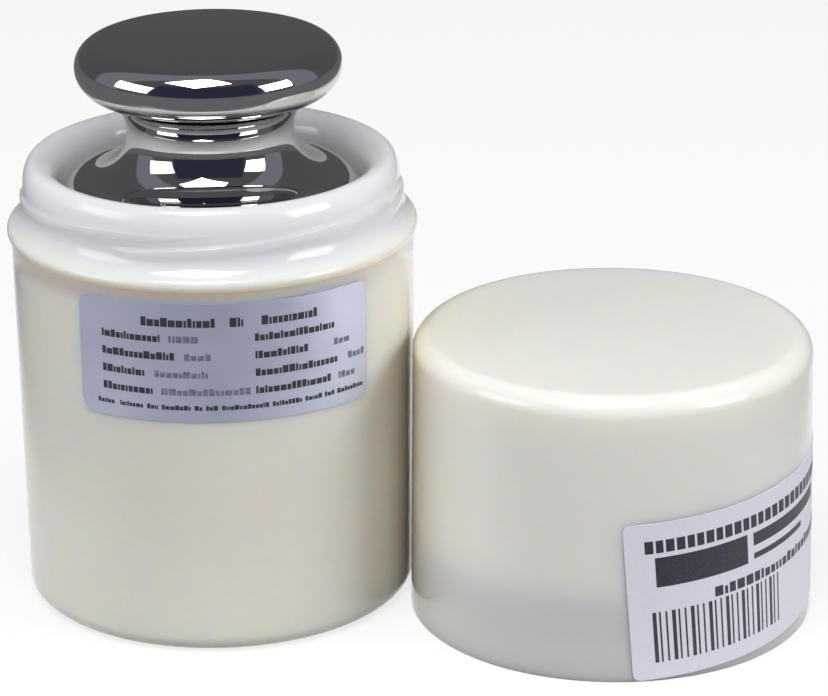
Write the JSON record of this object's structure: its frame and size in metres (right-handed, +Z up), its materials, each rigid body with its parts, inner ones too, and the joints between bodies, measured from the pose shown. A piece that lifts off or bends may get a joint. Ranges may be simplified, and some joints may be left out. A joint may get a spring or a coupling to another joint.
{
  "type": "calibration weight",
  "caption": "Polished steel knob weight standing in its thick-walled screw jar, with the jar's lid lying beside it, mouth down.",
  "frame": {"origin": "middle of the jar's underside, on the surface that the jar and the lid stand on", "axes": "+Z up along the axis of the jar and the weight, -Y to the front, +X towards the side where the lid lies"},
  "size_m": [0.1308, 0.0774, 0.0937],
  "materials": {
    "polished_steel": "mirror-polished stainless steel",
    "ivory_plastic": "moulded, smooth, slightly translucent",
    "foam": "closed-cell foam",
    "silver_label": "metallised film, satin",
    "paper_label": "coated paper"
  },
  "bodies": {
    "root": {"knob_weight": "polished_steel", "jar": "ivory_plastic", "seat_pad": "foam", "screw_lid": "ivory_plastic", "lid_pad": "foam", "certificate_label": "silver_label", "lid_label": "paper_label"}
  },
  "joints": []
}
